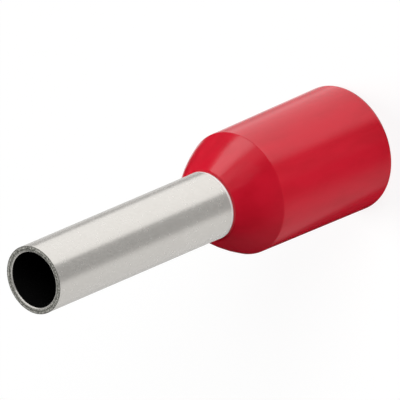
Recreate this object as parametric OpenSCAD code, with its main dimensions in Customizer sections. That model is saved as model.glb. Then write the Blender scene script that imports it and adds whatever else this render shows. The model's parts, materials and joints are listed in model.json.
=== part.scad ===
// Insulated wire ferrule: a flared metal barrel pressed through the nose of a moulded collar.
// Millimetres. The axis is +Z: the collar stands on its open end at z = 0 and the barrel points up.

/* [Barrel] */
// Outside diameter of the barrel
barrel_od = 1.7; // [1.3:0.05:2.1]
// Wall of the barrel
barrel_wall = 0.15; // [0.1:0.01:0.25]
// Length of barrel that stands out of the collar
barrel_reach = 6.26; // [4:0.01:18]
// Radius on the outer edge of the barrel's tip
tip_round = 0.01; // [0.01:0.01:0.06]
// Width of the broken inner edge of the barrel's tip
tip_chamfer = 0.03; // [0.01:0.01:0.06]

/* [Flare] */
// Radius of the trumpet that opens the barrel's hidden end, along its outside
flare_bend = 2; // [1.4:0.1:3]
// Clearance between the flare's edge and the chamber wall
flare_gap = 0.03; // [0.01:0.01:0.1]

/* [Collar] */
// Length of the collar
collar_len = 5.07; // [4:0.01:9]
// Outside diameter of the collar at its open end
collar_od = 3.16; // [2.8:0.01:4.2]
// Wall of the collar at its open end
collar_wall = 0.28; // [0.2:0.01:0.4]
// Draft of the collar's outside, in degrees
collar_draft = 0.65; // [0:0.05:1.5]
// Radius on the outer edge of the open end
rear_round = 0.16; // [0.04:0.01:0.2]
// Width of the lead-in at the open end
mouth_chamfer = 0.04; // [0.02:0.01:0.08]

/* [Nose] */
// Length of the nose, from the lip to the shoulder's edge
nose_len = 1.07; // [0.8:0.01:1.8]
// Angle that the crowned nose turns through, in degrees
nose_turn = 16; // [4:1:40]
// Wall of the lip where the barrel comes out
lip_wall = 0.06; // [0.03:0.01:0.12]
// Radius on the lip
lip_round = 0.05; // [0.01:0.005:0.06]
// Radius on the edge between nose and body
shoulder_round = 0.12; // [0.04:0.01:0.3]
// Length of the straight land behind the lip
land_len = 0.25; // [0.1:0.05:0.4]
// Clearance between the barrel and its seat in the collar
grip_gap = 0.005; // [0.002:0.001:0.02]

/* [Hidden] */
$fn = 96;
// Degrees between the points of a round corner
arc_step = 6;

barrel_r = barrel_od / 2;
bore_r = barrel_r - barrel_wall;
tip_z = collar_len + barrel_reach;
collar_r = collar_od / 2;
chamber_r = collar_r - collar_wall;
neck_r = barrel_r + grip_gap;
lip_r = neck_r + lip_wall;
shoulder_z = collar_len - nose_len;
shoulder_r = collar_r - shoulder_z * tan(collar_draft);
flare_r = chamber_r - flare_gap;
flare_centre = [barrel_r + flare_bend, collar_len - land_len];
flare_turn = acos((flare_centre[0] - flare_r) / flare_bend);
seat_turn = acos((flare_centre[0] - chamber_r) / (flare_bend - grip_gap));

// Points [radius, height] round centre c, from angle a to angle b
function arc(c, r, a, b) =
    let (n = max(2, ceil(abs(b - a) / arc_step)))
    [for (i = [0:n]) let (w = a + (b - a) * i / n) c + r * [cos(w), sin(w)]];

// The arc from p to q that turns right through the given angle, without its ends
function crown(p, q, turn) =
    let (d = q - p,
         r = norm(d) / (2 * sin(turn / 2)),
         heading = atan2(d[1], d[0]),
         c = (p + q) / 2 + r * cos(turn / 2) * [sin(heading), -cos(heading)],
         rim = arc(c, r, heading + 90 + turn / 2, heading + 90 - turn / 2))
    [for (i = [1:len(rim) - 2]) rim[i]];

// Corner p between its neighbours a and b, rounded to radius r
function softened(a, p, b, r) =
    let (u = (a - p) / norm(a - p),
         v = (b - p) / norm(b - p),
         half = acos(u * v) / 2,
         middle = (u + v) / norm(u + v),
         c = p + middle * r / sin(half),
         start = p + u * r / tan(half) - c,
         end = p + v * r / tan(half) - c,
         from = atan2(start[1], start[0]),
         sweep = atan2(start[0] * end[1] - start[1] * end[0], start * end))
    arc(c, r, from, from + sweep);

// The trumpet at distance off outside the barrel's outer face, from the land down through the given angle
function trumpet(off, turn) = arc(flare_centre, flare_bend - off, 180, 180 + turn);

function reversed(list) = [for (i = [len(list) - 1:-1:0]) list[i]];

module turned(outline) {
    rotate_extrude() polygon(outline);
}

module metal_barrel() {
    outer = trumpet(0, flare_turn);
    inner = trumpet(-barrel_wall, flare_turn);
    tip_edge = [barrel_r, tip_z];
    tip_inside = [bore_r + tip_chamfer, tip_z];
    color([0.80, 0.79, 0.77])
        turned(concat(
            [tip_inside],
            softened(tip_inside, tip_edge, outer[0], tip_round),
            outer,
            reversed(inner),
            [[bore_r, tip_z - tip_chamfer]]));
}

module insulating_collar() {
    lip_inside = [neck_r, collar_len];
    lip_edge = [lip_r, collar_len];
    shoulder_edge = [shoulder_r, shoulder_z];
    nose = crown(lip_edge, shoulder_edge, nose_turn);
    rear_edge = [collar_r, 0];
    mouth = [chamber_r + mouth_chamfer, 0];
    color([0.80, 0.07, 0.14])
        turned(concat(
            [lip_inside],
            softened(lip_inside, lip_edge, nose[0], lip_round),
            nose,
            softened(nose[len(nose) - 1], shoulder_edge, rear_edge, shoulder_round),
            softened(shoulder_edge, rear_edge, mouth, rear_round),
            [mouth, [chamber_r, mouth_chamfer]],
            reversed(trumpet(grip_gap, seat_turn))));
}

metal_barrel();
insulating_collar();
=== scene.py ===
"""Dressed model of an insulated wire ferrule: a tinned barrel pressed through a moulded collar."""

import json
import math

import bmesh
import bpy
from bpy.props import FloatProperty, FloatVectorProperty, IntProperty, PointerProperty
from mathutils import Matrix, Vector, noise


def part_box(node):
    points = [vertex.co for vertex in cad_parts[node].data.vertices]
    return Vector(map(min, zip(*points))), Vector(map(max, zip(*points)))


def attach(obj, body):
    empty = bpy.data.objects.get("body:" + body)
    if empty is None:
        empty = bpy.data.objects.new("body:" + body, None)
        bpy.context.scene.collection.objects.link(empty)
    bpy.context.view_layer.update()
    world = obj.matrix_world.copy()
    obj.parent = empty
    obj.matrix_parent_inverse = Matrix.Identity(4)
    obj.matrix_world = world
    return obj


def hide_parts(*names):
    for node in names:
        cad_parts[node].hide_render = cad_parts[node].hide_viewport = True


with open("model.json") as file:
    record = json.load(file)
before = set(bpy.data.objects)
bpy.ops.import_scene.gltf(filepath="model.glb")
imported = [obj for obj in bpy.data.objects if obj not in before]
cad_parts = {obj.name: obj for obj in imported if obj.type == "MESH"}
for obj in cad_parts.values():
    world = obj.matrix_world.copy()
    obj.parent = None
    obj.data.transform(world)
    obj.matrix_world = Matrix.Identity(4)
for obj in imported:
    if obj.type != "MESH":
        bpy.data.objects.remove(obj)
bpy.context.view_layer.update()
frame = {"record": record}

bl_info = {
    "name": "Wire Ferrule",
    "version": (1, 0, 0),
    "blender": (4, 5, 0),
    "location": "View3D > Sidebar > Ferrule",
    "description": "Builds a tinned wire ferrule with its moulded collar, and a studio to see it in",
    "category": "Add Mesh",
}

MM = 0.001
MICRON = 1e-6
PER_MM = 1 / MM
ARC_STEP = math.radians(5)
LONGEST_EDGE = 0.12 * MM
SHARP_ANGLE = math.radians(32)
WHITE = (1.0, 1.0, 1.0, 1.0)
BLACK = (0.0, 0.0, 0.0, 1.0)
LEVEL = (1.0, 1.0, 0.0)
BODY = "root"

MOUNTS = {mount["name"]: mount for mount in frame["record"]["mounts"]}
BARREL_LOW, BARREL_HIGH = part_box("metal_barrel")
COLLAR_LOW, COLLAR_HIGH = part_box("insulating_collar")


def mount_radius(name):
    """The radius that the record gives for one of its mounts."""
    return MOUNTS[name]["dims"]["r_mm"] * MM


def length_prop(name, description, default):
    return FloatProperty(
        name=name, description=description, default=default, min=0.0, precision=6,
        unit="LENGTH", subtype="DISTANCE")


def angle_prop(name, description, degrees):
    return FloatProperty(
        name=name, description=description, default=math.radians(degrees), subtype="ANGLE")


def colour_prop(name, description, default):
    return FloatVectorProperty(
        name=name, description=description, default=default, size=3, min=0.0, max=1.0,
        subtype="COLOR")


def share_prop(name, description, default):
    return FloatProperty(
        name=name, description=description, default=default, min=0.0, max=1.0,
        subtype="FACTOR")


class BarrelSettings(bpy.types.PropertyGroup):
    """Sizes and finish of the tinned barrel."""

    outside_radius: length_prop(
        "Outside radius", "Radius of the barrel", mount_radius("barrel_outside"))
    bore_radius: length_prop(
        "Bore radius", "Radius of the bore", mount_radius("conductor_bore"))
    tip_round: length_prop(
        "Tip round", "Radius on the outer edge of the tip", 0.01 * MM)
    tip_chamfer: length_prop(
        "Tip chamfer", "Width of the broken inner edge of the tip", 0.03 * MM)
    flare_bend: length_prop(
        "Flare bend", "Radius of the trumpet at the hidden end", 2.0 * MM)
    flare_gap: length_prop(
        "Flare gap", "Clearance between the flare's edge and the chamber wall", 0.03 * MM)
    shear_ridge: length_prop(
        "Shear ridge", "Height of the ridge that the cut leaves round the tip", 7 * MICRON)
    tin_light: colour_prop("Tin", "Colour of the bright tin", (0.80, 0.773, 0.730))
    tin_dull: colour_prop("Dull tin", "Colour of the duller tin between grains", (0.76, 0.733, 0.69))
    cut_light: colour_prop("Cut edge", "Colour of the sheared edge", (0.62, 0.61, 0.56))
    cut_dark: colour_prop("Torn edge", "Colour where the shear tore the metal", (0.10, 0.10, 0.085))
    # Painted shade: the bore's near-black stands in for the light that doesn't reach inside
    bore_painted_shade: colour_prop("Bore", "Colour of the unlit bore", (0.012, 0.012, 0.012))
    # A painted highlight: the pale line at the collar's lip stands in for light caught there
    highlight_white: colour_prop("Highlight", "Colour of the line at the collar's lip", (0.96, 0.95, 0.94))
    spokes: IntProperty(
        name="Spokes", description="Steps round the axis", default=288, min=24, max=720)


class CollarSettings(bpy.types.PropertyGroup):
    """Sizes and finish of the moulded collar."""

    chamber_radius: length_prop(
        "Chamber radius", "Radius of the wire chamber", mount_radius("wire_chamber"))
    draft: angle_prop("Draft", "Draft of the collar's outside", 0.65)
    rear_round: length_prop("Rear round", "Radius on the open end's outer edge", 0.16 * MM)
    mouth_chamfer: length_prop("Mouth chamfer", "Width of the lead-in", 0.04 * MM)
    nose_length: length_prop("Nose length", "From the lip to the shoulder", 1.07 * MM)
    nose_turn: angle_prop("Nose turn", "Angle that the crowned nose turns through", 16)
    lip_wall: length_prop("Lip wall", "Wall of the lip round the barrel", 0.06 * MM)
    lip_round: length_prop("Lip round", "Radius on the lip", 0.05 * MM)
    shoulder_round: length_prop(
        "Shoulder round", "Radius on the edge between nose and body", 0.12 * MM)
    land_length: length_prop("Land", "Straight land behind the lip", 0.25 * MM)
    grip_gap: length_prop("Grip gap", "Clearance round the barrel's seat", 5 * MICRON)
    red: colour_prop("Red", "Colour of the moulding", (0.625, 0.010, 0.028))
    red_deep: colour_prop("Deep red", "Colour of the denser streaks", (0.56, 0.007, 0.022))
    spokes: IntProperty(
        name="Spokes", description="Steps round the axis", default=288, min=24, max=720)


class StudioSettings(bpy.types.PropertyGroup):
    """The floor, the light and the camera."""

    floor_radius: length_prop("Floor radius", "Radius of the plain floor", 120 * MM)
    tent_radius: length_prop("Tent radius", "Radius of the pale tent", 90 * MM)
    floor_white: share_prop("Floor white", "How much light the floor gives back", 0.80)
    floor_glow: share_prop("Floor glow", "Light that comes up through the floor", 0.40)
    shadow_fill: share_prop("Shadow fill", "How much of the shadow the floor hides", 0.8)
    camera_elevation: angle_prop("Camera elevation", "Height of the view", 44.19)
    camera_roll: angle_prop("Camera roll", "Turn of the view round its own line", -113.21)
    camera_distance: length_prop("Camera distance", "From the aim to the camera", 404.3 * MM)
    aim_below_tip: length_prop("Aim below tip", "How far below the tip the view aims", 6.128 * MM)
    aim_aside: length_prop("Aim aside", "How far beside the axis the view aims", 0.191 * MM)
    lens: FloatProperty(name="Lens", description="Focal length, mm", default=1514.8, min=1.0)


class Wire:
    """A socket that takes part in Python arithmetic: each operator adds a Math node."""

    def __init__(self, shop, socket):
        self.shop = shop
        self.socket = socket

    def out(self, name):
        """Another output of the same node."""
        return Wire(self.shop, self.socket.node.outputs[name])

    def __add__(self, other):
        return self.shop.math("ADD", self, other)

    __radd__ = __add__

    def __sub__(self, other):
        return self.shop.math("SUBTRACT", self, other)

    def __rsub__(self, other):
        return self.shop.math("SUBTRACT", other, self)

    def __mul__(self, other):
        return self.shop.math("MULTIPLY", self, other)

    __rmul__ = __mul__


# The Mix node's sockets for colours, by number, because others share their names
MIX_FIRST, MIX_SECOND, MIX_RESULT = 6, 7, 2


class Shop:
    """Wires up the node tree of a material or a world."""

    def __init__(self, owner):
        owner.use_nodes = True
        self.tree = owner.node_tree
        self.tree.nodes.clear()

    def node(self, kind, settings=None, inputs=None, output=0):
        """Adds a node: its settings first, then the values or links of its sockets."""
        made = self.tree.nodes.new(kind)
        for name, value in (settings or {}).items():
            setattr(made, name, value)
        for key, value in (inputs or {}).items():
            if isinstance(value, Wire):
                self.tree.links.new(value.socket, made.inputs[key])
            else:
                made.inputs[key].default_value = value
        return Wire(self, made.outputs[output])

    def math(self, operation, *values):
        """A Math node on these values."""
        return self.node("ShaderNodeMath", {"operation": operation}, dict(enumerate(values)))

    def vector(self, operation, first, second=(0.0, 0.0, 0.0), scale=1.0, output=0):
        inputs = {0: first, 1: second}
        if operation == "SCALE":
            inputs = {0: first, "Scale": scale}
        return self.node("ShaderNodeVectorMath", {"operation": operation}, inputs, output)

    def blend(self, share, first, second):
        """A colour between two others."""
        first, second = (c if isinstance(c, Wire) else (*c, 1.0) for c in (first, second))
        return self.node(
            "ShaderNodeMix", {"data_type": "RGBA"},
            {"Factor": share, MIX_FIRST: first, MIX_SECOND: second}, MIX_RESULT)

    def step(self, value, low, high, start=0.0, end=1.0):
        """Goes smoothly from start at low to end at high."""
        if low > high:
            low, high, start, end = high, low, end, start
        return self.node(
            "ShaderNodeMapRange", {"interpolation_type": "SMOOTHSTEP"},
            {"Value": value, "From Min": low, "From Max": high, "To Min": start, "To Max": end})

    def noise(self, place, scale, detail=2.0, roughness=0.5):
        return self.node(
            "ShaderNodeTexNoise", {"noise_dimensions": "3D"},
            {"Vector": place, "Scale": scale, "Detail": detail, "Roughness": roughness})

    def distance(self, value, middle):
        """How far a value is from the middle, either way."""
        return self.math("ABSOLUTE", value - middle)

    def surface(self, shader, kind="ShaderNodeOutputMaterial"):
        """Ends the tree with its shader."""
        ends = self.tree.nodes.new(kind)
        self.tree.links.new(shader.socket, ends.inputs["Surface"])

    def place_mm(self):
        """The point on the object, in millimetres."""
        spot = self.node("ShaderNodeTexCoord", output="Object")
        return self.vector("SCALE", spot, scale=PER_MM)


def arc(centre, radius, start, end):
    """Points on the arc round centre, from angle start to angle end."""
    count = max(2, math.ceil(abs(end - start) / ARC_STEP))
    turns = [start + (end - start) * i / count for i in range(count + 1)]
    return [centre + radius * Vector((math.cos(w), math.sin(w))) for w in turns]


def crown(first, last, turn):
    """The arc from one point to another that turns right through an angle, without its ends."""
    chord = last - first
    radius = chord.length / (2 * math.sin(turn / 2))
    heading = math.atan2(chord.y, chord.x)
    sideways = Vector((math.sin(heading), -math.cos(heading)))
    centre = (first + last) / 2 + radius * math.cos(turn / 2) * sideways
    quarter = math.pi / 2
    rim = arc(centre, radius, heading + quarter + turn / 2, heading + quarter - turn / 2)
    return rim[1:-1]


def softened(before, corner, after, radius):
    """The corner between two neighbours, rounded."""
    u = (before - corner).normalized()
    v = (after - corner).normalized()
    half = u.angle(v) / 2
    centre = corner + (u + v).normalized() * (radius / math.sin(half))
    start = corner + u * (radius / math.tan(half)) - centre
    end = corner + v * (radius / math.tan(half)) - centre
    first = math.atan2(start.y, start.x)
    sweep = math.atan2(start.x * end.y - start.y * end.x, start @ end)
    return arc(centre, radius, first, first + sweep)


def trumpet(centre, radius, turn):
    """The flare's curve, from the straight barrel down and outwards."""
    return arc(centre, radius, math.pi, math.pi + turn)


def divided(outline):
    """The closed outline with its long edges cut into shorter ones."""
    points = []
    for i, start in enumerate(outline):
        end = outline[(i + 1) % len(outline)]
        count = max(1, math.ceil((end - start).length / LONGEST_EDGE))
        points += [start.lerp(end, k / count) for k in range(count)]
    return points


def turned(name, outline, spokes, ripple):
    """Turns a closed outline of (radius, height) points round the Z axis into an object."""
    rows = []
    for i in range(spokes):
        angle = math.tau * i / spokes
        round_axis = Matrix.Rotation(angle, 3, "Z")
        rows += [round_axis @ Vector((p.x, 0, p.y)) for p in ripple(outline, angle)]
    count = len(outline)
    faces = []
    for i in range(spokes):
        here, beside = i * count, (i + 1) % spokes * count
        for j in range(count):
            k = (j + 1) % count
            faces.append((here + j, here + k, beside + k, beside + j))
    mesh = bpy.data.meshes.new(name)
    mesh.from_pydata(rows, [], faces)
    tidy = bmesh.new()
    tidy.from_mesh(mesh)
    bmesh.ops.recalc_face_normals(tidy, faces=tidy.faces)
    tidy.to_mesh(mesh)
    tidy.free()
    mesh.shade_smooth()
    mesh.set_sharp_from_angle(angle=SHARP_ANGLE)
    piece = bpy.data.objects.new(name, mesh)
    bpy.context.scene.collection.objects.link(piece)
    return piece


def dressed(piece, material, node):
    """Gives the piece its finish and its place in the frame."""
    piece.data.materials.append(material)
    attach(piece, BODY)
    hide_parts(node)


def flare_centre():
    """The middle of the trumpet's bend, which the barrel and the collar share."""
    barrel = bpy.context.scene.ferrule_barrel
    collar = bpy.context.scene.ferrule_collar
    return Vector((
        barrel.outside_radius + barrel.flare_bend, COLLAR_HIGH.z - collar.land_length))


# Steps across the flat of the tip, so that its marks show
TIP_STEPS = 8


def barrel_outline(sizes, chamber_radius):
    """The barrel's outline: across the tip, down the outside, round the flare and up the bore."""
    tip = BARREL_HIGH.z
    wall = sizes.outside_radius - sizes.bore_radius
    centre = flare_centre()
    flare_radius = chamber_radius - sizes.flare_gap
    turn = math.acos((centre.x - flare_radius) / sizes.flare_bend)
    outer = trumpet(centre, sizes.flare_bend, turn)
    inner = trumpet(centre, sizes.flare_bend + wall, turn)
    tip_edge = Vector((sizes.outside_radius, tip))
    tip_inside = Vector((sizes.bore_radius + sizes.tip_chamfer, tip))
    bore_top = Vector((sizes.bore_radius, tip - sizes.tip_chamfer))
    rounded = softened(tip_inside, tip_edge, outer[0], sizes.tip_round)
    across = [tip_inside.lerp(rounded[0], k / TIP_STEPS) for k in range(TIP_STEPS)]
    return divided([*across, *rounded, *outer, *inner[::-1], bore_top])


# The marks of the shear: how far down they reach, the width of the groove between the ridges,
# and the depths of the torn face, the ragged inner edge and the ragged outer edge.
SHEAR_REACH = 20 * MICRON
GROOVE_WIDTH = 16 * MICRON
TORN_DEPTH = 3 * MICRON
RAGGED_INSIDE = 4 * MICRON
RAGGED_OUTSIDE = 1.6 * MICRON


def barrel_ripple(sizes):
    """Leaves the marks of the shear on the tip: a ridge round the wall and a ragged inner edge."""
    tip = BARREL_HIGH.z
    depth = sizes.tip_round + SHEAR_REACH
    middle = (sizes.outside_radius + sizes.bore_radius) / 2

    def ripple(outline, angle):
        around = Vector((math.cos(angle), math.sin(angle), 0))
        points = []
        for p in outline:
            near = max(0.0, 1 - (tip - p.y) / depth)
            off = (p.x - middle) / GROOVE_WIDTH
            ridge = sizes.shear_ridge * (1 - math.exp(-off * off))
            torn = TORN_DEPTH * abs(noise.noise(around * 9 + Vector((0, 0, p.x * 30 * PER_MM))))
            ragged = RAGGED_INSIDE if p.x < middle else RAGGED_OUTSIDE
            inward = ragged * noise.noise(around * 14 + Vector((5, 0, 0)))
            points.append(p + near * Vector((inward, -ridge - torn)))
        return points

    return ripple


def collar_outline(sizes, barrel):
    """The collar's outline: across the lip, down the outside, and up the chamber to the seat."""
    lip = COLLAR_HIGH.z
    neck_radius = barrel.outside_radius + sizes.grip_gap
    rear_radius = COLLAR_HIGH.x + sizes.rear_round * math.tan(sizes.draft)
    shoulder_height = lip - sizes.nose_length
    shoulder_radius = rear_radius - shoulder_height * math.tan(sizes.draft)
    lip_inside = Vector((neck_radius, lip))
    lip_edge = Vector((neck_radius + sizes.lip_wall, lip))
    shoulder = Vector((shoulder_radius, shoulder_height))
    rear = Vector((rear_radius, 0))
    mouth = Vector((sizes.chamber_radius + sizes.mouth_chamfer, 0))
    chamber = Vector((sizes.chamber_radius, sizes.mouth_chamfer))
    nose = crown(lip_edge, shoulder, sizes.nose_turn)
    centre = flare_centre()
    seat_bend = barrel.flare_bend - sizes.grip_gap
    seat = trumpet(centre, seat_bend, math.acos((centre.x - sizes.chamber_radius) / seat_bend))
    return divided([
        lip_inside,
        *softened(lip_inside, lip_edge, nose[0], sizes.lip_round),
        *nose,
        *softened(nose[-1], shoulder, rear, sizes.shoulder_round),
        *softened(shoulder, rear, mouth, sizes.rear_round),
        mouth,
        chamber,
        *seat[::-1],
    ])


# The faint waves that the mould leaves on the nose: their depth, and how far above the shoulder's
# edge they reach it.
WAVE_DEPTH = 4 * MICRON
WAVE_RISE = 0.2 * MM


def collar_ripple(sizes):
    """Leaves the faint waves of the moulding on the nose."""
    foot = COLLAR_HIGH.z - sizes.nose_length

    def ripple(outline, angle):
        around = Vector((math.cos(angle), math.sin(angle), 0))
        points = []
        for p in outline:
            share = min(1.0, max(0.0, (p.y - foot) / WAVE_RISE))
            wave = noise.noise(around * 5 + Vector((0, 0, p.y * 1.5 * PER_MM)))
            points.append(Vector((p.x - share * WAVE_DEPTH * abs(wave), p.y)))
        return points

    return ripple


# Scales of the noise behind each sort of mark, to the millimetre
GRAIN, CLOUDS, TEARS = 15.0, 5.0, 22.0
STREAKS, SKIN = 2.2, 6.0
# Millimetres below the tip: the foot of the cut, where it fades, and where the painted shade in the
# bore starts and where it is full
CUT_DEPTH, CUT_FADE = 0.02, 0.012
BORE_SHADE_START, BORE_SHADE_FULL = 0.035, 0.055
# The painted highlight at the collar's lip, a pale line: its middle above the lip and its half widths,
# in millimetres
HIGHLIGHT_MIDDLE, HIGHLIGHT_OUTER, HIGHLIGHT_INNER = 0.02, 0.045, 0.025
TIN_METALLIC = 0.66
TIN_BUMP = 0.4 * MICRON
RED_BUMP = 3 * MICRON


def sheared_edge(shop, sizes, radius):
    """The torn face of the cut, with a dark line along its middle and another at its rim."""
    torn = shop.noise(shop.place_mm(), TEARS, 2.0, 0.7)
    across = radius + (torn - 0.5) * 0.035
    wall = (sizes.outside_radius - sizes.bore_radius) * PER_MM
    middle = sizes.bore_radius * PER_MM + wall / 2
    mid_line = shop.step(shop.distance(across, middle - 0.005), 0.022, 0.006)
    rim_line = shop.step(across, middle + wall * 0.33, middle + wall * 0.46)
    shade = shop.step(torn, 0.35, 0.65) * (1 - 0.75 * mid_line) * (1 - 0.8 * rim_line)
    return shop.blend(shade, sizes.cut_dark, sizes.cut_light)


def tin_plate(sizes):
    """Satin tin plate with a fine grain, a torn cut at the tip, painted shade deep in the bore, and a
    painted highlight as a pale line at the lip.
    """
    material = bpy.data.materials.new("tin_plate")
    shop = Shop(material)
    place = shop.place_mm()
    height = shop.node("ShaderNodeSeparateXYZ", None, {0: place}, "Z")
    flat = shop.vector("MULTIPLY", place, LEVEL)
    radius = shop.vector("LENGTH", flat, output="Value")
    below_tip = BARREL_HIGH.z * PER_MM - height
    grain = shop.noise(place, GRAIN, 2.0, 0.6)
    clouds = shop.noise(place, CLOUDS, 2.0)
    mottle = shop.step(grain * 0.55 + clouds * 0.45, 0.30, 0.70)
    tin = shop.blend(mottle, sizes.tin_dull, sizes.tin_light)

    cut = shop.step(below_tip, CUT_DEPTH, CUT_DEPTH - CUT_FADE)
    faced = shop.blend(cut, tin, sheared_edge(shop, sizes, radius))
    wall = (sizes.outside_radius - sizes.bore_radius) * PER_MM
    middle = sizes.bore_radius * PER_MM + wall / 2
    # Painted shade: the inner face of the wall goes near-black a little below the tip, for the unlit
    # bore
    inside = shop.step(radius, middle - wall * 0.25, middle - wall * 0.45)
    bore_shade = inside * shop.step(below_tip, BORE_SHADE_START, BORE_SHADE_FULL)
    with_bore_shade = shop.blend(bore_shade, faced, sizes.bore_painted_shade)

    # Painted highlight: a pale, less metallic line just above the collar's lip
    from_line = shop.distance(height, COLLAR_HIGH.z * PER_MM + HIGHLIGHT_MIDDLE)
    painted_highlight = shop.step(from_line, HIGHLIGHT_OUTER, HIGHLIGHT_INNER) * (1 - inside)
    colour = shop.blend(painted_highlight, with_bore_shade, sizes.highlight_white)
    metallic = TIN_METALLIC - 0.5 * painted_highlight
    rough = 0.22 + 0.06 * mottle + 0.22 * cut
    bump = shop.node(
        "ShaderNodeBump", None,
        {"Strength": 0.5, "Distance": TIN_BUMP, "Height": grain * 0.4 + clouds})
    shop.surface(shop.node("ShaderNodeBsdfPrincipled", None, {
        "Base Color": colour, "Metallic": metallic, "Roughness": rough, "Normal": bump}))
    return material


def moulded_red(sizes):
    """Semi-gloss moulded plastic with faint flow streaks."""
    material = bpy.data.materials.new("moulded_red")
    shop = Shop(material)
    place = shop.place_mm()
    drawn_out = shop.vector("MULTIPLY", place, (1.0, 1.0, 0.35))
    streaks = shop.noise(drawn_out, STREAKS, 3.0)
    skin = shop.noise(place, SKIN, 2.0)
    red = shop.blend(shop.step(streaks, 0.35, 0.75), sizes.red, sizes.red_deep)
    rough = 0.12 + 0.10 * streaks
    bump = shop.node(
        "ShaderNodeBump", None,
        {"Strength": 0.5, "Distance": RED_BUMP, "Height": skin * 0.35 + streaks})
    shop.surface(shop.node("ShaderNodeBsdfPrincipled", None, {
        "Base Color": red, "Roughness": rough, "IOR": 1.46, "Normal": bump}))
    return material


class FERRULE_OT_barrel(bpy.types.Operator):
    """Turns the tinned barrel and seats its flare in the collar"""

    bl_idname = "ferrule.barrel"
    bl_label = "Tinned Barrel"

    def execute(self, context):
        sizes = context.scene.ferrule_barrel
        outline = barrel_outline(sizes, context.scene.ferrule_collar.chamber_radius)
        piece = turned("tinned_barrel", outline, sizes.spokes, barrel_ripple(sizes))
        dressed(piece, tin_plate(sizes), "metal_barrel")
        return {"FINISHED"}


class FERRULE_OT_collar(bpy.types.Operator):
    """Turns the moulded collar with its crowned nose"""

    bl_idname = "ferrule.collar"
    bl_label = "Moulded Collar"

    def execute(self, context):
        sizes = context.scene.ferrule_collar
        outline = collar_outline(sizes, context.scene.ferrule_barrel)
        piece = turned("moulded_collar", outline, sizes.spokes, collar_ripple(sizes))
        piece.visible_glossy = False
        dressed(piece, moulded_red(sizes), "insulating_collar")
        return {"FINISHED"}


def facing(azimuth, elevation):
    """The direction at an azimuth from -Y towards +X and an elevation, both in degrees."""
    a, e = math.radians(azimuth), math.radians(elevation)
    return Vector((math.sin(a) * math.cos(e), -math.cos(a) * math.cos(e), math.sin(e)))


class Around:
    """Masks by direction, for what surrounds the object."""

    def __init__(self, shop, direction):
        self.shop = shop
        self.height = shop.node("ShaderNodeSeparateXYZ", None, {0: direction}, "Z")
        self.level = shop.vector("NORMALIZE", shop.vector("MULTIPLY", direction, LEVEL))

    def nearness(self, azimuth):
        """The cosine of the angle from the azimuth."""
        toward = tuple(facing(azimuth, 0))
        return self.shop.vector("DOT_PRODUCT", self.level, toward, output="Value")

    def toward(self, azimuth):
        """One toward the azimuth, falling to nothing at right angles to it."""
        near = self.nearness(azimuth)
        return self.shop.math("MAXIMUM", near, 0.0)

    def side(self, azimuth, half, edge):
        """One within half degrees of the azimuth, fading to nothing over the edge."""
        if half >= 180:
            return 1.0
        outer, inner = (math.cos(math.radians(half + way * edge / 2)) for way in (1, -1))
        return self.shop.step(self.nearness(azimuth), outer, inner)

    def above(self, elevation, edge):
        """One above the elevation, fading to nothing over the edge."""
        if elevation - edge / 2 <= -90:
            return 1.0
        outer, inner = (math.sin(math.radians(elevation + way * edge / 2)) for way in (-1, 1))
        return self.shop.step(self.height, outer, inner)

    def below(self, elevation, edge):
        """One below the elevation, fading to nothing over the edge."""
        if elevation + edge / 2 >= 90:
            return 1.0
        return 1 - self.above(elevation, edge)

    def cards(self, cards):
        """The light of all the cards together."""
        light = 0.0
        for (azimuth, half, edge), (low, high, fade), strength in cards.values():
            card = self.above(low, fade) * self.below(high, fade) * self.side(azimuth, half, edge)
            light = light + strength * card
        return light


# What each finish mirrors. A card has its middle azimuth, half width and soft edge, its lowest
# and highest elevation and soft edge, all in degrees, and its light.
METAL_CARDS = {
    "round": ((0, 180, 0), (-95, 95, 0), 0.165),
    "left": ((-94, 50, 24), (-95, 95, 0), 0.49),
    "right": ((67.5, 51, 6), (-95, 95, 0), 0.83),
    "rear": ((175, 36, 16), (-95, 95, 0), 0.42),
    "rear_middle": ((178, 14, 16), (-95, 95, 0), 0.07),
}
PLASTIC_CARDS = {
    "right": ((78, 55, 20), (-95, -31, 6), 0.90),
    "right_edge": ((75, 48, 20), (-39, -30, 5), 1.0),
    "front": ((0, 14, 16), (-95, -31, 6), 0.13),
    "rear": ((156, 28, 16), (-95, -31, 6), 0.42),
    "rear_middle": ((170, 10, 12), (-95, -31, 6), 0.50),
    "key": ((75, 13, 16), (-16, 36, 14), 2.1),
    "key_soft": ((66, 22, 34), (-16, 36, 14), 0.75),
    "overhead": ((0, 180, 0), (62, 95, 8), 0.9),
}

# The low sheet: how far it lies below the open end and its radius, its middle azimuth, half
# width and soft edge in degrees, its light, how far out it glows in millimetres, and the middle
# and the soft edge of the painted shade on it, in millimetres.
SHEET_DEPTH = 5 * MM
SHEET_RADIUS = 60 * MM
SHEET_SIDE = (-90, 34, 40)
SHEET_LIGHT = 0.31
SHEET_REACH = (11.5, 13.5)
SHADE_MIDDLE = (-3.5, 3.7, 0.0)
SHADE_EDGE = (3.9, 5.0)

# The light that the sky gives to matt surfaces
SKY_DIM = 0.05

# Light that comes up through the floor, all round and toward two azimuths
GLOW_ROUND = 0.10
GLOW_SIDES = {-90: 1.15, 135: 1.15}

# How far the floor and the dark disc lie below the open end, and the disc's share of its radius
FLOOR_GAP = 2 * MICRON
UNDER_GAP = 10 * MICRON
UNDER_SHARE = 0.97

# The plastic's tent hangs outside the metal's
OUTER_TENT = 1.1
SENSOR_WIDTH = 36.0
CLIP_START, CLIP_END = 10 * MM, 2.0


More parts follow.
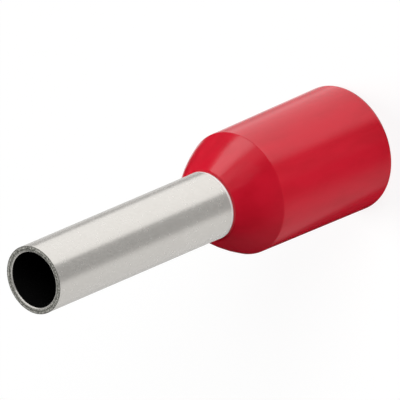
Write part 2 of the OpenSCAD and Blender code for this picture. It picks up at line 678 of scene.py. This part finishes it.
def studio_world():
    """White to the eye, and dim and even to the rest."""
    world = bpy.data.worlds.new("studio_world")
    bpy.context.scene.world = world
    shop = Shop(world)
    eye = shop.node("ShaderNodeLightPath", output="Is Camera Ray")
    matt = 1 - eye.out("Is Glossy Ray")
    light = shop.node("ShaderNodeBackground", None, {
        "Color": WHITE, "Strength": eye + (1 - eye) * matt * SKY_DIM})
    shop.surface(light, "ShaderNodeOutputWorld")


def unseen(piece):
    """Leaves a piece to mirrors alone."""
    piece.visible_camera = False
    piece.visible_diffuse = False
    piece.visible_shadow = False


def hung(piece, glow, receiver):
    """Hangs up a sheet that only one piece mirrors, and that lets everything else through."""
    material = bpy.data.materials.new(piece.name + "_glow")
    shop = Shop(material)
    light = shop.node("ShaderNodeEmission", None, {"Color": glow(shop)})
    clear = shop.node("ShaderNodeBsdfTransparent")
    shop.surface(shop.node("ShaderNodeAddShader", None, {0: light, 1: clear}))
    material.cycles.emission_sampling = "NONE"
    piece.data.materials.append(material)
    unseen(piece)
    alone = bpy.data.collections.new(piece.name + "_receiver")
    alone.objects.link(bpy.data.objects[receiver])
    piece.light_linking.receiver_collection = alone


def studio_tent(name, radius, cards, receiver):
    """A round tent of cards for one piece to mirror."""
    mesh = bpy.data.meshes.new(name)
    ball = bmesh.new()
    bmesh.ops.create_icosphere(ball, subdivisions=4, radius=radius)
    ball.to_mesh(mesh)
    ball.free()
    tent = bpy.data.objects.new(name, mesh)
    bpy.context.scene.collection.objects.link(tent)

    def glow(shop):
        spot = shop.node("ShaderNodeTexCoord", output="Object")
        return Around(shop, shop.vector("NORMALIZE", spot)).cards(cards)

    hung(tent, glow, receiver)


def studio_sheet():
    """A pale sheet below the left side, with a painted soft shade of the object on it."""
    sheet = disc("low_sheet", SHEET_RADIUS, COLLAR_LOW.z - SHEET_DEPTH)

    def glow(shop):
        flat = shop.vector("MULTIPLY", shop.place_mm(), LEVEL)
        from_shade = shop.vector("DISTANCE", flat, SHADE_MIDDLE, output="Value")
        from_axis = shop.vector("LENGTH", flat, output="Value")
        # Painted shade: the sheet's glow goes dark round SHADE_MIDDLE, as a shadow of the object would
        lit = shop.step(from_shade, *SHADE_EDGE) * shop.step(from_axis, *SHEET_REACH, 1.0, 0.0)
        return Around(shop, flat).side(*SHEET_SIDE) * lit * SHEET_LIGHT

    hung(sheet, glow, "moulded_collar")


# Soft lamps: azimuth and elevation in degrees, the share of full light, and how wide it shines.
LAMPS = {
    "back_lamp": (150.0, 35.0, 0.76, 40.0),
    "front_lamp": (32.0, 25.0, 0.64, 40.0),
}


def studio_lamps():
    """Soft lamps that matt surfaces see and glossy ones don't."""
    for name, (azimuth, elevation, share, width) in LAMPS.items():
        data = bpy.data.lights.new(name, "SUN")
        data.energy = math.pi * share
        data.angle = math.radians(width)
        lamp = bpy.data.objects.new(name, data)
        lamp.rotation_mode = "QUATERNION"
        lamp.rotation_quaternion = facing(azimuth, elevation).to_track_quat("Z", "Y")
        lamp.visible_glossy = False
        bpy.context.scene.collection.objects.link(lamp)


def disc(name, radius, height):
    """A flat round sheet."""
    mesh = bpy.data.meshes.new(name)
    sheet = bmesh.new()
    bmesh.ops.create_circle(
        sheet, cap_ends=True, segments=128, radius=radius,
        matrix=Matrix.Translation((0, 0, height)))
    sheet.to_mesh(mesh)
    sheet.free()
    made = bpy.data.objects.new(name, mesh)
    bpy.context.scene.collection.objects.link(made)
    return made


def studio_floor(studio):
    """A pale floor that glows, more to two sides, and stays white round a faint shadow."""
    material = bpy.data.materials.new("floor_white")
    shop = Shop(material)
    seen = shop.node("ShaderNodeLightPath", output="Is Camera Ray")
    white = (*[studio.floor_white] * 3, 1.0)
    matt = shop.node("ShaderNodeBsdfDiffuse", None, {"Color": white})
    around = Around(shop, shop.node("ShaderNodeTexCoord", output="Object"))
    sides = GLOW_ROUND
    for azimuth, strength in GLOW_SIDES.items():
        sides = sides + around.toward(azimuth) * strength
    glow = shop.node(
        "ShaderNodeEmission", None,
        {"Color": seen * studio.floor_glow + (1 - seen) * sides})
    lit = shop.node("ShaderNodeAddShader", None, {0: matt, 1: glow})
    plain = shop.node("ShaderNodeEmission", None, {"Strength": 1.0})
    shop.surface(shop.node(
        "ShaderNodeMixShader", None, {0: seen * studio.shadow_fill, 1: lit, 2: plain}))
    floor = disc("floor", studio.floor_radius, COLLAR_LOW.z - FLOOR_GAP)
    floor.data.materials.append(material)
    floor.visible_glossy = False


def studio_under():
    """A dark disc below the chamber, so that the bore mirrors no light."""
    material = bpy.data.materials.new("under_dark")
    shop = Shop(material)
    shop.surface(shop.node("ShaderNodeBsdfDiffuse", None, {"Color": BLACK}))
    under = disc("under", COLLAR_HIGH.x * UNDER_SHARE, COLLAR_LOW.z - UNDER_GAP)
    under.data.materials.append(material)
    unseen(under)


def studio_camera(studio):
    """The camera, aimed at a point below the tip."""
    data = bpy.data.cameras.new("camera")
    data.lens = studio.lens
    data.sensor_width = SENSOR_WIDTH
    data.clip_start = CLIP_START
    data.clip_end = CLIP_END
    camera = bpy.data.objects.new("camera", data)
    aim = Vector((studio.aim_aside, 0, BARREL_HIGH.z - studio.aim_below_tip))
    away = facing(0, math.degrees(studio.camera_elevation))
    upright = away.to_track_quat("Z", "Y").to_matrix()
    turn = Matrix.Rotation(studio.camera_roll, 3, "Z")
    camera.matrix_world = Matrix.Translation(
        aim + away * studio.camera_distance) @ (upright @ turn).to_4x4()
    bpy.context.scene.collection.objects.link(camera)
    bpy.context.scene.camera = camera


class FERRULE_OT_studio(bpy.types.Operator):
    """Sets up the floor, the light and the camera"""

    bl_idname = "ferrule.studio"
    bl_label = "Studio"

    def execute(self, context):
        studio = context.scene.ferrule_studio
        studio_floor(studio)
        studio_under()
        studio_world()
        studio_tent("metal_tent", studio.tent_radius, METAL_CARDS, "tinned_barrel")
        studio_tent("plastic_tent", studio.tent_radius * OUTER_TENT, PLASTIC_CARDS, "moulded_collar")
        studio_sheet()
        studio_lamps()
        studio_camera(studio)
        context.scene.view_settings.view_transform = "Standard"
        return {"FINISHED"}


class FERRULE_PT_panel(bpy.types.Panel):
    """Lists the pieces, their sizes and colours"""

    bl_idname = "FERRULE_PT_panel"
    bl_label = "Wire Ferrule"
    bl_space_type = "VIEW_3D"
    bl_region_type = "UI"
    bl_category = "Ferrule"

    def draw(self, context):
        scene = context.scene
        for settings, operator in (
                (scene.ferrule_barrel, FERRULE_OT_barrel),
                (scene.ferrule_collar, FERRULE_OT_collar),
                (scene.ferrule_studio, FERRULE_OT_studio)):
            box = self.layout.box()
            for name in type(settings).__annotations__:
                box.prop(settings, name)
            box.operator(operator.bl_idname)


CLASSES = (
    BarrelSettings, CollarSettings, StudioSettings,
    FERRULE_OT_barrel, FERRULE_OT_collar, FERRULE_OT_studio, FERRULE_PT_panel,
)


def register():
    for cls in CLASSES:
        bpy.utils.register_class(cls)
    bpy.types.Scene.ferrule_barrel = PointerProperty(type=BarrelSettings)
    bpy.types.Scene.ferrule_collar = PointerProperty(type=CollarSettings)
    bpy.types.Scene.ferrule_studio = PointerProperty(type=StudioSettings)


def unregister():
    del bpy.types.Scene.ferrule_studio
    del bpy.types.Scene.ferrule_collar
    del bpy.types.Scene.ferrule_barrel
    for cls in reversed(CLASSES):
        bpy.utils.unregister_class(cls)


def main():
    register()
    bpy.ops.ferrule.barrel()
    bpy.ops.ferrule.collar()
    bpy.ops.ferrule.studio()


if __name__ == "__main__":
    main()
